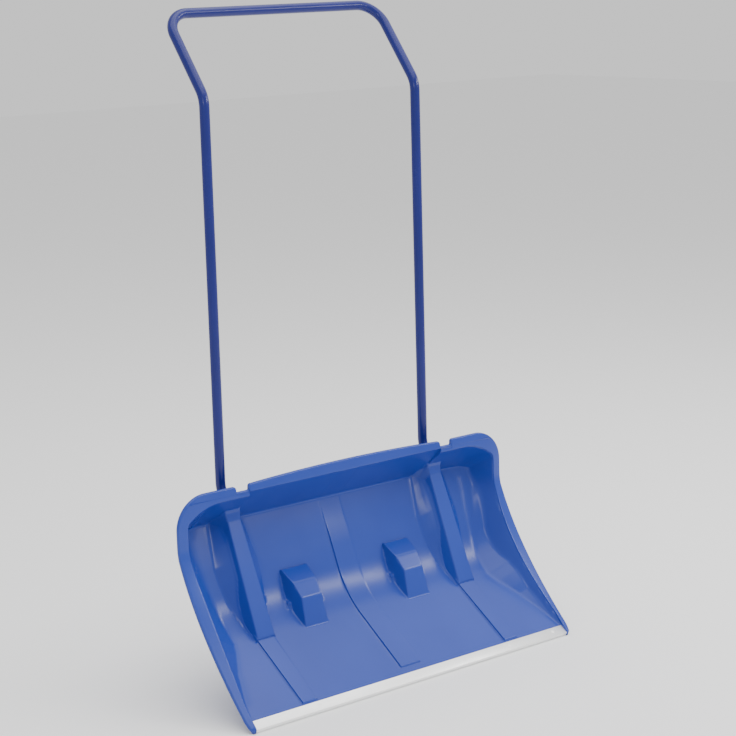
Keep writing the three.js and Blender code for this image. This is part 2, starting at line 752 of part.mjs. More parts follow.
function wheel(side) {
  const bore = AXLE_RADIUS + GAP;
  const rimInner = WHEEL_RADIUS - 5;
  const webHalf = 2.5;
  const half = WHEEL_HALF_WIDTH;
  return turned([
    [bore, -HUB_HALF_LENGTH],
    [HUB_RADIUS, -HUB_HALF_LENGTH],
    [HUB_RADIUS + 1, -webHalf],
    [rimInner, -webHalf],
    [rimInner + 1, -half],
    [WHEEL_RADIUS - 2, -half],
    [WHEEL_RADIUS, -half + 3],
    [WHEEL_RADIUS, half - 3],
    [WHEEL_RADIUS - 2, half],
    [rimInner + 1, half],
    [rimInner, webHalf],
    [HUB_RADIUS + 1, webHalf],
    [HUB_RADIUS, HUB_HALF_LENGTH],
    [bore, HUB_HALF_LENGTH],
    [bore, -HUB_HALF_LENGTH],
  ], 32, placed(side * ARCH_MIDDLE, AXLE, ALONG_X));
}

function axle(side) {
  const half = AXLE_HALF_LENGTH;
  return turned([
    [0, -half],
    [AXLE_RADIUS - 0.8, -half],
    [AXLE_RADIUS, -half + 0.8],
    [AXLE_RADIUS, half - 0.8],
    [AXLE_RADIUS - 0.8, half],
    [0, half],
  ], 20, placed(side * ARCH_MIDDLE, AXLE, ALONG_X));
}

// ---- Assembly -------------------------------------------------------------------------------------------

const mouldedBlue = new THREE.MeshStandardMaterial({ color: 0x4062aa, roughness: 0.32, metalness: 0 });
const paintedTube = new THREE.MeshStandardMaterial({ color: 0x303e94, roughness: 0.28, metalness: 0.1 });
const aluminium = new THREE.MeshStandardMaterial({ color: 0xd9dcdc, roughness: 0.3, metalness: 1 });
const zincSteel = new THREE.MeshStandardMaterial({ color: 0xb4b6b8, roughness: 0.4, metalness: 1 });
const blackPlastic = new THREE.MeshStandardMaterial({ color: 0x1c1d20, roughness: 0.55, metalness: 0 });

const pusher = new THREE.Group();
pusher.position.set(0, FOOTPRINT_MIDDLE, -GROUND);
pusher.add(piece('scoop', scoop(), mouldedBlue));
pusher.add(piece('wear_strip', wearStrip(), aluminium));
rivetPlaces().forEach((matrix, index) => {
  pusher.add(piece(`wear_strip_rivet_${index + 1}`, rivetShape(matrix, 0), aluminium));
});
pusher.add(piece('handle_tube', handle(), paintedTube));
for (const side of [-1, 1]) {
  const hand = side < 0 ? 'left' : 'right';
  pusher.add(piece(`tube_plug_${hand}`, tubePlug(side), blackPlastic));
  CLAMP_PLACES.forEach((place, index) => {
    pusher.add(piece(`tube_clamp_${hand}_${index + 1}`, clamp(side, place), zincSteel));
  });
  pusher.add(piece(`wheel_${hand}`, wheel(side), blackPlastic));
  pusher.add(piece(`wheel_axle_${hand}`, axle(side), zincSteel));
}
for (const { label, matrix } of screwPlaces()) {
  pusher.add(piece(`clamp_screw_${label}`, clampScrew(matrix), zincSteel));
}

export default pusher;
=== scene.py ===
"""A moulded snow pusher with a bent tube handle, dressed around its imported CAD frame.

Shapes are worked out in millimetres as (x, forward, height): x runs across the width, forward is measured
from the plane of the handle's long legs towards the mouth of the scoop, and height from the ground line.
"""

import math

import bmesh
import bpy
import numpy as np
from mathutils import Matrix, Vector


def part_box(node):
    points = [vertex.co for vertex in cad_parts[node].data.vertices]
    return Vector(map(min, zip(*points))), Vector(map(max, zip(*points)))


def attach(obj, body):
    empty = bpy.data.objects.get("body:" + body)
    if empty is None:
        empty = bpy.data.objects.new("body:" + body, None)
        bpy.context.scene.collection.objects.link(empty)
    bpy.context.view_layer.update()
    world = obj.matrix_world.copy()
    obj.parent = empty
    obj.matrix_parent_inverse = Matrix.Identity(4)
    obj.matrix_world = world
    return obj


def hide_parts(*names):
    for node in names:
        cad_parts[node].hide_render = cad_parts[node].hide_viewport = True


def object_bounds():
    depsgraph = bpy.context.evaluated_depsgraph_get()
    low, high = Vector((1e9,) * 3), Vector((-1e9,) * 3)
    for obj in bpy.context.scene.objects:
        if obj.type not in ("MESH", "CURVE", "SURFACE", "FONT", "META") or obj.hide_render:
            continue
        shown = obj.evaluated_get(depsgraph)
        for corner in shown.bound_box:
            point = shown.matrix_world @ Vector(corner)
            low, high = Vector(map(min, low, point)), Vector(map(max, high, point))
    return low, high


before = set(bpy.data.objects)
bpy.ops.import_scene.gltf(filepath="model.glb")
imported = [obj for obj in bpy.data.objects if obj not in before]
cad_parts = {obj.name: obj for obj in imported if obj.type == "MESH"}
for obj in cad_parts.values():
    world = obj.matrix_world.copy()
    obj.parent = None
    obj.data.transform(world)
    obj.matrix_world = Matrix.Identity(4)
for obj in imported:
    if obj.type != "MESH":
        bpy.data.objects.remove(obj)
CAD_BOX = [list(corner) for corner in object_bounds()]

# ---- Dimensions ----------------------------------------------------------------------------------------

WALL = 3.5
CREASE = np.array([4.7, 323.8])
CORNER = np.array([85.1, 139.0])
LIP = np.array([77.0, 392.8])
LIP_SIDE = np.array([77.0, 384.3])
BACK_LEAN = 23.5
FLOOR_PITCH = 33.0
SWEEP_RADIUS = 190.0
CREASE_RADIUS = 7.0
FLOOR_LENGTH = 241.8
STEP_X = 244.0

RIM_HALF = 411.5
RIM_TOP = 407.3
RIM_RADIUS = 66.0
OPENING_HALF = 390.5
OPENING_RADIUS = 45.0
NOTCH = (244.0, 274.5, 395.5)
RIM_ARCH = 7.0

RIB_X = 258.6
LEG_X = 259.6
RIB_TOP = np.array([33.5, 348.1])
RIB_END = np.array([134.7, 116.2])
ARCH_X = 131.4
ARCH_ROWS = [(57.3, 213.4, 32.0), (93.2, 192.4, 28.5), (115.3, 165.8, 24.0), (130.8, 109.6, 28.0)]
ARCH_ROOT = (70.0, 135.0, 43.0)
AXLE = np.array([86.0, 148.3])
HOUSING_TOP_HALF = 13.6
HOUSING_END_HALF = 20.0
HOUSING_TOP_REACH = 42
HOUSING_LENGTH = 253
HOUSING_DRAFT = 0.43
BOSS_RADIUS = 7
BOSS_HALF = 42

STRIP_HEIGHT = 3.5
STRIP_HALF = 25
STRIP_END = 207
STRIP_FADE_TOP = 318
STRIP_FADE_RUN = 90
SIDE_STRIP_START = 30
SIDE_STRIP_END = 220

EDGE_HALF = 398
EDGE_ROOM = 398.4
EDGE_DEPTH = 19.0
EDGE_TOP_Z = 19
EDGE_SEAT = 5.0
RIVET_PITCH = 122

TUBE_RADIUS = 10.0
TUBE_WALL = 1.5
TUBE_DEPTH = 14
TUBE_END = 229
CLAMP_PLACES = (62, 192)


def heading(degrees):
    angle = math.radians(degrees)
    return np.array([math.cos(angle), math.sin(angle)])


BACK_DOWN = heading(BACK_LEAN - 90)
BACK_OUT = heading(BACK_LEAN)
FLOOR_OUT = heading(-FLOOR_PITCH)
FLOOR_UP = heading(90 - FLOOR_PITCH)
FRONT_EDGE = CORNER + FLOOR_LENGTH * FLOOR_OUT

axle_low, axle_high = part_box("wheel_axle_left")
ORIGIN_FORWARD = 500 * (axle_low.y + axle_high.y) + AXLE[0]
ORIGIN_HEIGHT = AXLE[1] - 500 * (axle_low.z + axle_high.z)


def to_row(points):
    """Points of (x, forward, height) in millimetres as row-frame points in metres."""
    p = np.asarray(points, float)
    return np.stack([p[..., 0], ORIGIN_FORWARD - p[..., 1], p[..., 2] - ORIGIN_HEIGHT], -1) / 1000


# ---- The moulding as a distance field ------------------------------------------------------------------

def blend_min(a, b, k):
    h = np.maximum(k - np.abs(a - b), 0) / k
    return np.minimum(a, b) - h * h * k / 4


def blend_max(a, b, k):
    return -blend_min(-a, -b, k)


def footed(base, shape, reach, rise):
    """A raised shape on its base, with a hollow bevel between them that ends in a crease on both."""
    hollow = 1.12
    near_base = np.clip(1 - base / rise, 0, None) ** hollow
    near_shape = np.clip(1 - shape / reach, 0, None) ** hollow
    bevel = (1 - (near_base + near_shape) ** (1 / hollow)) * reach * rise / np.hypot(reach, rise)
    bevel = np.where((base < rise) & (shape < reach), bevel, 1000)
    return blend_min(np.minimum(base, shape), bevel, 2.5)


def rounded_corner(a, b, point, centre, radius, run_a, run_b):
    """Distance to two walls joined by an arc that touches both. Each run points in from one of its ends."""
    away = point - centre
    inside = (away @ run_a > 0) & (away @ run_b > 0)
    return np.where(inside, radius - np.hypot(away[..., 0], away[..., 1]), np.minimum(a, b))


def corner_centre(corner, out_a, out_b, radius):
    return corner + radius * np.linalg.solve(np.array([out_a, out_b]), [1.0, 1.0])


HOOD_RUN = (LIP - CREASE) / np.linalg.norm(LIP - CREASE)
HOOD_OUT = np.array([HOOD_RUN[1], -HOOD_RUN[0]])
SIDE_RUN = (LIP_SIDE - CREASE) / np.linalg.norm(LIP_SIDE - CREASE)
SIDE_OUT = np.array([SIDE_RUN[1], -SIDE_RUN[0]])
SWEEP_CENTRE = corner_centre(CORNER, BACK_OUT, FLOOR_UP, SWEEP_RADIUS)


def section_distance(tz, hood_out, hood_run):
    """Height over the hood, the back wall, the sweep and the floor."""
    hood = (tz - CREASE) @ hood_out
    back = (tz - CREASE) @ BACK_OUT
    floor = (tz - CORNER) @ FLOOR_UP
    lower = rounded_corner(back, floor, tz, SWEEP_CENTRE, SWEEP_RADIUS, BACK_DOWN, -FLOOR_OUT)
    centre = corner_centre(CREASE, hood_out, BACK_OUT, CREASE_RADIUS)
    upper = rounded_corner(hood, back, tz, centre, CREASE_RADIUS, -hood_run, -BACK_DOWN)
    return np.where((tz - CREASE) @ BACK_DOWN < 60, np.minimum(upper, floor), np.minimum(lower, hood))


def hull_planes(points):
    """Outward face planes of the convex solid around points, as (normal, offset)."""
    bm = bmesh.new()
    for point in points:
        bm.verts.new(point)
    bmesh.ops.convex_hull(bm, input=bm.verts)
    middle = np.mean(points, 0)
    planes = []
    for face in bm.faces:
        normal = np.array(face.normal)
        place = np.array(face.verts[0].co)
        if (middle - place) @ normal > 0:
            normal = -normal
        if all(known @ normal < 0.9995 for known, _ in planes):
            planes.append((normal, normal @ place))
    bm.free()
    return planes


def hull_distance(p, planes, k):
    total = None
    for normal, offset in planes:
        distance = p @ normal - offset
        total = distance if total is None else blend_max(total, distance, k)
    return total


def housing_points():
    points = []
    root = 60.0
    end_slope = 0.42
    top = RIB_TOP - HOUSING_TOP_REACH * BACK_DOWN
    for place, half, slope in ((top, HOUSING_TOP_HALF, 0), (RIB_END, HOUSING_END_HALF, end_slope)):
        for depth, width in ((0.0, half), (root, half + root * HOUSING_DRAFT)):
            end = place - depth * BACK_OUT + depth * slope * BACK_DOWN
            for side in (-1, 1):
                points.append((RIB_X + side * width, end[0], end[1]))
    return points


def arch_points():
    return [(ARCH_X + side * half, t, z) for t, z, half in [*ARCH_ROWS, ARCH_ROOT] for side in (-1, 1)]


def plane_through(a, b, c, inside):
    a, b, c = (np.array(v, float) for v in (a, b, c))
    normal = np.cross(b - a, c - a)
    normal /= np.linalg.norm(normal)
    if (np.array(inside) - a) @ normal < 0:
        normal = -normal
    return normal, normal @ a


HOUSING = hull_planes(housing_points())
ARCH = hull_planes(arch_points())
STEEP = plane_through(
    (OPENING_HALF, 82, 281.3), (OPENING_HALF, 241, 41.3), (362, 80.6, 191.7), inside=(0, 200, 200),
)
UPRIGHT_LEAN = 0.425

# By height: where a side wall leaves the section, and how steeply.
FOOT_Z = [20, 30, 47, 60, 74, 85, 99, 113, 132, 140, 168, 199, 243, 272, 308, 340]
FOOT_X = [397, 391, 380, 371, 362, 351, 338, 328, 328, 329, 332, 336, 346, 354, 360, 365]
SLOPE_Z = [30, 60, 110, 141, 184, 199, 252, 294]
SLOPE = [0.8, 0.73, 0.62, 0.59, 0.57, 0.62, 0.89, 1.0]
# By height: how far the bevel beside a housing reaches, and the half width of its outline.
SPREAD_Z = [110, 121, 134, 156, 181, 211, 240, 276, 303, 340]
SPREAD = [2, 2, 2.5, 7, 11.3, 16.6, 19.2, 14.6, 11.6, 6]
RIB_FOOT = [22, 26, 36, 42, 46, 51, 53, 47, 43, 36]


def field(p):
    """Distance from the moulding's front surface: positive in the hollow, negative inside the moulding."""
    x = np.abs(p[..., 0])
    q = np.stack([x, p[..., 1], p[..., 2]], -1)
    tz = p[..., 1:]
    middle = section_distance(tz, HOOD_OUT, HOOD_RUN)
    outer = section_distance(tz, SIDE_OUT, SIDE_RUN)
    base = blend_min(middle, blend_max(outer, (STEP_X - x) * 0.9, 1.5), 1.5)
    foot_height = p[..., 2] - FLOOR_UP[1] * np.maximum(middle, 0)

    along_floor = (tz - CORNER) @ FLOOR_OUT
    fade = np.clip((STRIP_FADE_TOP - foot_height) / STRIP_FADE_RUN, 0, 1)
    strip = blend_max(base - STRIP_HEIGHT * fade * fade * (3 - 2 * fade), x - STRIP_HALF, 1.2)
    strip = blend_max(strip, (along_floor - STRIP_END) * 0.8 + base * 0.6, 1.5)
    run = np.clip((along_floor - 50) / 168, 0, 1)
    side_strip = blend_max(base - STRIP_HEIGHT, np.abs(x - RIB_X) - (20 - 3.5 * run), 1.2)
    side_strip = blend_max(side_strip, (along_floor - SIDE_STRIP_END) * 0.8 + base * 0.6, 1.5)
    side_strip = np.maximum(side_strip, SIDE_STRIP_START - along_floor)
    base = blend_min(base, strip, 1.6)
    base = blend_min(base, side_strip, 1.6)

    foot = np.interp(foot_height, FOOT_Z, FOOT_X)
    slope = np.interp(foot_height, SLOPE_Z, SLOPE)
    shallow = (middle - (x - foot) * slope) / np.sqrt(1 + slope * slope)
    steep = q @ STEEP[0] - STEEP[1]
    upright = (OPENING_HALF - x) - UPRIGHT_LEAN * (LIP[0] - p[..., 1])
    upright = upright / math.hypot(1, UPRIGHT_LEAN)
    side = blend_min(blend_min(shallow, steep, 2.5), upright, 6.0)
    base = blend_min(base, side, np.interp(foot_height, [120, 200, 300, 345], [3, 5, 18, 44]))

    spread = np.interp(foot_height, SPREAD_Z, SPREAD)
    base = footed(base, hull_distance(q, HOUSING, 1.8), spread, np.minimum(1.7 * spread, 26))
    offset = tz - AXLE
    boss = np.hypot(offset[..., 0], offset[..., 1]) - BOSS_RADIUS
    boss = blend_max(boss, np.abs(x - ARCH_X) - BOSS_HALF, 3.0)
    base = blend_min(base, boss, 6.0)
    return blend_min(base, hull_distance(q, ARCH, 1.5), 2.5)


# ---- Rim curve and rays --------------------------------------------------------------------------------

def rim_polyline():
    start = FRONT_EDGE + 4 * FLOOR_UP
    control = np.array([133.0, 157.0])
    end = np.array([79.5, 290.0])
    u = np.linspace(0, 1, 60)[:, None]
    curve = (1 - u) ** 2 * start + 2 * u * (1 - u) * control + u * u * end
    return np.vstack([curve, [[77.3, 303.0], [77.0, 312.0], [77.0, 470.0]]])


RIM = rim_polyline()


def rim_forward(z):
    return np.interp(z, RIM[:, 1], RIM[:, 0])


def rim_normal(z):
    slope = (rim_forward(z + 1.5) - rim_forward(z - 1.5)) / 3
    normal = np.stack([np.ones_like(slope), -slope], -1)
    return normal / np.linalg.norm(normal, axis=-1, keepdims=True)


def section_rows():
    """Places along the section from the lip to the front edge, with each one's viewing ray."""
    hood = np.linalg.norm(LIP - CREASE)
    tangent = SWEEP_RADIUS * math.tan(math.radians((90 - BACK_LEAN - FLOOR_PITCH) / 2))
    back = np.linalg.norm(CORNER - CREASE) - tangent
    turn = math.radians(90 - BACK_LEAN - FLOOR_PITCH)
    sweep = SWEEP_RADIUS * turn
    total = hood + back + sweep + FLOOR_LENGTH - tangent

    def place(b):
        if b < hood:
            return LIP - HOOD_RUN * b
        if b < hood + back:
            return CREASE + BACK_DOWN * (b - hood)
        if b < hood + back + sweep:
            round_by = math.degrees((b - hood - back) / SWEEP_RADIUS)
            return SWEEP_CENTRE - SWEEP_RADIUS * heading(BACK_LEAN + round_by)
        return FRONT_EDGE - FLOOR_OUT * (total - b)

    knots = [0, hood, hood + back, hood + back + sweep, total]
    angles = [-11, -11, BACK_LEAN, 90 - FLOOR_PITCH, 90 - FLOOR_PITCH]

    def ray(b):
        point = place(b)
        direction = heading(np.interp(b, knots, angles))
        side = (RIM - point) @ np.array([-direction[1], direction[0]])
        ahead = (RIM - point) @ direction
        crossing = []
        for i in range(len(side) - 1):
            if side[i] * side[i + 1] <= 0 and max(ahead[i], ahead[i + 1]) > 0:
                crossing.append(i)
        if not crossing:
            return point, direction, 0.5
        i = crossing[-1]
        share = side[i] / (side[i] - side[i + 1])
        return point, direction, max(0.5, ahead[i] + share * (ahead[i + 1] - ahead[i]))

    def through(target):
        low, high = 0.0, total
        for _ in range(40):
            mid = (low + high) / 2
            point, direction, _reach = ray(mid)
            if (np.array(target) - point) @ np.array([-direction[1], direction[0]]) > 0:
                high = mid
            else:
                low = mid
        return (low + high) / 2

    marks = [through(RIB_TOP), hood, through(RIB_END), total - 22]
    marks += [through(row[:2]) for row in ARCH_ROWS]
    marks += [total - FLOOR_LENGTH + end for end in (STRIP_END, SIDE_STRIP_END)]
    places = [0.0]
    while places[-1] < total:
        near = min(abs(places[-1] - mark) for mark in marks)
        places.append(places[-1] + float(np.interp(near, [3, 12], [0.75, 2.4])))
    places[-1] = total
    return [ray(b) for b in places]


def column_lines(heights):
    """The x of each grid column at each row, following the edges of the raised shapes."""
    rows = len(heights)

    def line(value):
        return np.full(rows, float(value))

    arch_half = np.interp(heights, [109.6, 165.8, 192.4, 213.4], [28, 24, 28.5, 32])
    arch_foot = np.interp(heights, [80, 111, 127, 146, 171, 204, 240], [34, 31, 45, 50, 46, 40, 38])
    face_halves = [16.5, HOUSING_END_HALF, HOUSING_END_HALF, HOUSING_TOP_HALF]
    face = np.interp(heights, [20, 110, 116.2, 348.1], face_halves)
    base = np.interp(heights, [20, 105, 125, 330, 360], [18, 22, 28, 29, 22])
    foot = np.maximum(np.interp(heights, SPREAD_Z, RIB_FOOT), base + 3)
    side_foot = np.interp(heights, FOOT_Z, FOOT_X)
    side_foot = np.clip(side_foot, RIB_X + foot + 6, 384)
    ridge = np.clip(side_foot + np.interp(heights, [40, 110, 200, 300], [4, 38, 26, 10]), None, 387)
    keys = [
        (line(0), 8), (line(23.8), 4), (line(26.2), 14),
        (ARCH_X - arch_foot, 10), (ARCH_X - arch_half - 2.5, 6), (ARCH_X - arch_half + 2.2, 9),
        (line(ARCH_X), 9), (ARCH_X + arch_half - 2.2, 6), (ARCH_X + arch_half + 2.5, 10),
        (ARCH_X + arch_foot, 8),
        (RIB_X - foot, 10), (RIB_X - base, 8), (RIB_X - face - 2.5, 6), (RIB_X - face + 2.2, 7),
        (line(RIB_X), 7), (RIB_X + face - 2.2, 6), (RIB_X + face + 2.5, 8), (RIB_X + base, 10),
        (RIB_X + foot, 10),
        (side_foot, 14), (ridge, 10), (line(388.5), 4), (line(391), 3), (line(399), 0),
    ]
    columns = []
    for (start, count), (end, _) in zip(keys, keys[1:]):
        for step in range(count):
            columns.append(start + (end - start) * step / count)
    columns.append(keys[-1][0])
    return np.stack(columns, 1)


def inside_corner(x, heights):
    """Draws the outer columns in where the rim's upper corner turns."""
    fixed, last = 320, 399
    centre = RIM_HALF - RIM_RADIUS, RIM_TOP - RIM_RADIUS
    rise = np.clip(heights - centre[1], 0, None)
    limit = centre[0] + np.sqrt(np.clip((RIM_RADIUS - 4) ** 2 - rise ** 2, 0, None))
    limit = np.minimum(np.where(heights > centre[1], limit, last), last)[:, None]
    return np.where(x > fixed, fixed + (x - fixed) * (limit - fixed) / (last - fixed), x)


def trace(origin, direction, start, reach, level):
    """Walks each ray until the field falls to a level, and gives the distance walked."""
    walked = start.copy()
    for _ in range(36):
        step = field(origin + direction * walked[..., None]) - level
        walked = np.clip(walked + 0.85 * step, start, reach)
    low = np.maximum(walked - 1.5, start)
    high = np.minimum(walked + 1.5, reach)
    for _ in range(12):
        middle = (low + high) / 2
        positive = field(origin + direction * middle[..., None]) > level
        low = np.where(positive, middle, low)
        high = np.where(positive, high, middle)
    return (low + high) / 2


def mirrored(grid):
    """A half grid of columns from the middle outwards as the full grid from left to right."""
    left = grid[:, :0:-1].copy()
    left[..., 0] *= -1
    return np.concatenate([left, grid], 1)


def pocket():
    """The scoop's sheet: front and rear surfaces and their joined edges."""
    rays = section_rows()
    heights = np.array([ray[0][1] for ray in rays])
    x = column_lines(heights)
    rows, columns = x.shape
    base = np.array([ray[0] for ray in rays])
    out = np.array([ray[1] for ray in rays])
    reach = np.array([ray[2] for ray in rays])
    start = base + out * (reach - np.minimum(1.2, 0.3 * reach))[:, None]
    x = inside_corner(x, start[:, 1])
    origin = np.zeros((rows, columns, 3))
    origin[..., 0] = x
    origin[..., 1:] = start[:, None, :]
    direction = np.zeros_like(origin)
    direction[..., 1:] = -out[:, None, :]
    limit = np.broadcast_to((reach + 14)[:, None], x.shape)
    front = trace(origin, direction, np.zeros_like(x), limit, 0.0)
    rear = trace(origin, direction, front, limit, -WALL)
    rear = np.maximum(rear, front + 2.6)
    front_points = mirrored(origin + direction * front[..., None])
    rear_points = mirrored(origin + direction * rear[..., None])
    rows, columns = front_points.shape[:2]
    index = np.arange(rows * columns).reshape(rows, columns)
    a, b, c, d = index[:-1, :-1], index[:-1, 1:], index[1:, 1:], index[1:, :-1]
    front_faces = np.stack([a, d, c, b], -1).reshape(-1, 4)
    rear_faces = np.stack([a, b, c, d], -1).reshape(-1, 4) + rows * columns
    loop = np.concatenate([index[0, :-1], index[:-1, -1], index[-1, :0:-1], index[:0:-1, 0]])
    following = np.roll(loop, -1)
    edge_faces = np.stack([loop, following, following + rows * columns, loop + rows * columns], -1)
    points = np.concatenate([front_points.reshape(-1, 3), rear_points.reshape(-1, 3)])
    faces = np.concatenate([front_faces, rear_faces, edge_faces])
    return points, faces.tolist()


# ---- Rim, seat and rear details ------------------------------------------------------------------------

def arc_points(centre, radius, start, end, count):
    angles = np.radians(np.linspace(start, end, count))
    return [(centre[0] + radius * math.cos(a), centre[1] + radius * math.sin(a)) for a in angles]


def rim_stations():
    """Outer and inner (x, height) pairs on the rim's right half, from the front corner to the middle."""
    pairs = []
    for x, z in arc_points((371.5, 28), 40, -40, 0, 14):
        pairs.append(((x, z), (EDGE_ROOM if z < EDGE_TOP_Z else OPENING_HALF, z)))
    for z in np.arange(34, RIM_TOP - RIM_RADIUS, 5.0):
        pairs.append(((RIM_HALF, z), (OPENING_HALF, z)))
    centre = (RIM_HALF - RIM_RADIUS, RIM_TOP - RIM_RADIUS)
    inner_centre = (OPENING_HALF - OPENING_RADIUS, LIP_SIDE[1] - OPENING_RADIUS)
    outer_arc = arc_points(centre, RIM_RADIUS, 0, 90, 27)
    pairs += list(zip(outer_arc, arc_points(inner_centre, OPENING_RADIUS, 0, 90, 27)))
    inner_x, outer_x, floor = NOTCH
    top = [(x, RIM_TOP) for x in np.arange(339, outer_x + 7, -6.0)]
    top += arc_points((outer_x + 5, RIM_TOP - 5), 5, 90, 180, 7)
    top += [(outer_x, floor + 4)]
    top += arc_points((outer_x - 2.5, floor + 2.5), 2.5, 0, -90, 6)
    top += [(x, floor) for x in np.arange(outer_x - 6, inner_x + 5, -4.0)]
    top += arc_points((inner_x + 2.5, floor + 2.5), 2.5, -90, -180, 6)
    top += arc_points((inner_x - 5, RIM_TOP - 4.7), 5, 0, 90, 7)
    for x in np.append(np.arange(inner_x - 8, 2, -6.0), 0):
        top.append((x, RIM_TOP + RIM_ARCH * (1 - (x / inner_x) ** 2)))
    for x, z in top:
        pairs.append(((x, z), (x, LIP[1] if x < inner_x - 0.01 else LIP_SIDE[1])))
    return pairs


def on_rim(places):
    places = np.asarray(places, float)
    return np.stack([places[:, 0], rim_forward(places[:, 1]), places[:, 1]], -1)


def opening_edge(outer, inner):
    """Moves each inner place to where the rim's face meets the pocket."""
    outer, inner = np.asarray(outer), np.asarray(inner)
    run = inner - outer
    length = np.linalg.norm(run, axis=1, keepdims=True)
    deep = inner + run / length * 9
    low, high = np.zeros(len(outer)), np.ones(len(outer))
    for _ in range(24):
        middle = (low + high) / 2
        solid = field(on_rim(outer + (deep - outer) * middle[:, None])) < 0
        low = np.where(solid, middle, low)
        high = np.where(solid, high, middle)
    found = outer + (deep - outer) * ((low + high) / 2)[:, None]
    found[:, 0] = np.minimum(found[:, 0], EDGE_ROOM)
    fixed = outer[:, 1] < EDGE_TOP_Z
    return np.where(fixed[:, None], inner, found)


def rim_band():
    """The flat rim with its turned-back skirt, swept round the scoop from corner to corner."""
    pairs = rim_stations()
    outer = np.array([pair[0] for pair in pairs])
    inner = opening_edge(outer, [pair[1] for pair in pairs])
    start = on_rim(outer)
    end = on_rim(inner)
    width = np.linalg.norm(end - start, axis=1)
    across = (end - start) / width[:, None]
    normal = np.zeros_like(start)
    normal[:, 1:] = rim_normal((outer[:, 1] + inner[:, 1]) / 2)
    normal[outer[:, 1] < 14, 1:] = rim_normal(np.array([20.0]))
    rings = []
    for w, p, u, n in zip(width, start, across, normal):
        scale = min(1.0, w / 9)
        shallow = float(np.clip((p[2] / 0.73 - 2.3) / 6.9, 0.05, 1))
        section = [
            (0.3, -8.4), (0, -8.0), (0, -4.2), (0.4, -2.8), (1.2, -1.9), (2.6, -1.5), (4.5, -1.3),
            (None, 0.9), (w - 1.2, 0.95), (w - 0.35, 0.6), (w, -0.2), (w + 0.1, -1.6), (w + 0.1, -4.0),
            (None, -4.5), (4.4, -4.9), (3.3, -5.4), (2.9, -6.2), (2.8, -8.0), (2.5, -8.4),
        ]
        ring = []
        for a, b in section:
            if a is None:
                a = w - 2.6 * scale
            elif a < 5:
                a = a * scale
            if b < -1.5:
                b = -1.5 + (b + 1.5) * shallow
            ring.append(p + u * a + n * b)
        rings.append(ring)
    right = np.array(rings)
    left = right[:-1][::-1].copy()
    left[..., 0] *= -1
    return lofted(np.concatenate([right, left]))


def lofted(rings):
    """Closed rings joined into a tube with flat ends."""
    rings = np.asarray(rings, float)
    count, sides = rings.shape[:2]
    index = np.arange(count * sides).reshape(count, sides)
    following = np.roll(index, -1, axis=1)
    quads = np.stack([index[:-1], following[:-1], following[1:], index[1:]], -1).reshape(-1, 4)
    faces = [tuple(q) for q in quads.tolist()]
    faces.append(tuple(index[0][::-1].tolist()))
    faces.append(tuple(index[-1].tolist()))
    return rings.reshape(-1, 3), faces


def prism(outline, x_from, x_to):
    """A (forward, height) outline extruded across the width."""
    ring = np.array([[0.0, *point] for point in outline])
    rings = []
    for x in (x_from, x_to):
        end = ring.copy()
        end[:, 0] = x
        rings.append(end)
    return lofted(rings)


def front_seat():
    """The thicker front of the floor, inside the wear strip."""
    corners = [(-26, -1.2), (-0.3, -1.2), (-0.3, -4.6), (-0.7, -EDGE_SEAT), (-22, -EDGE_SEAT)]
    outline = [FRONT_EDGE + FLOOR_OUT * out + FLOOR_UP * up for out, up in corners]
    return prism(outline, -EDGE_HALF, EDGE_HALF)


def housing_top():
    return RIB_END - HOUSING_LENGTH * BACK_DOWN


def cradle(side, place):
    """A block inside a tube housing, grooved for the tube and open towards the rear."""
    front, rear = 3.0, 22
    groove = TUBE_RADIUS + 0.3
    middle = LEG_X - RIB_X
    share = (place + HOUSING_TOP_REACH) / (HOUSING_LENGTH + HOUSING_TOP_REACH)
    half = HOUSING_TOP_HALF + (HOUSING_END_HALF - HOUSING_TOP_HALF) * share - 1.6
    widening = (rear - front) * HOUSING_DRAFT
    outline = [(-half, front), (half, front), (half + widening, rear), (middle + 7.4, rear)]
    for angle in np.linspace(51, -231, 30):
        x = middle + groove * math.cos(math.radians(angle))
        depth = TUBE_DEPTH + groove * math.sin(math.radians(angle))
        outline.append((x, depth))
    outline += [(middle - 7.4, rear), (-half - widening, rear)]
    rings = []
    for down in (-13, 13):
        point = housing_top() + BACK_DOWN * (place + down)
        ring = []
        for x, depth in outline:
            spot = point - BACK_OUT * depth
            ring.append((side * (RIB_X + x), spot[0], spot[1]))
        rings.append(ring)
    return lofted(rings)


def axle_sockets(side):
    """Two open jaws that hold the axle, each closed by a disc at its outer end."""
    outer_radius = 7.2
    bore_radius = 4.3
    parts = []
    for end in (-1, 1):
        jaw = arc_points(AXLE, outer_radius, 154, -154, 30)
        jaw += arc_points(AXLE, bore_radius, -125.5, 125.5, 22)
        inner, outer = sorted((end * 29.0, end * 41.0))
        parts.append(prism(jaw, side * ARCH_X + inner, side * ARCH_X + outer))
        inner, outer = sorted((end * 40.9, end * 42.0))
        disc = arc_points(AXLE, outer_radius, 0, 350, 36)
        parts.append(prism(disc, side * ARCH_X + inner, side * ARCH_X + outer))
    return parts


# ---- Meshes --------------------------------------------------------------------------------------------

SHARP_ANGLE = 35


def merged(parts):
    """Several meshes of (points, faces) as one."""
    points, faces, total = [], [], 0
    for part_points, part_faces in parts:
        points.append(np.asarray(part_points, float))
        faces += [tuple(int(i) + total for i in face) for face in part_faces]
        total += len(part_points)
    return np.concatenate(points), faces


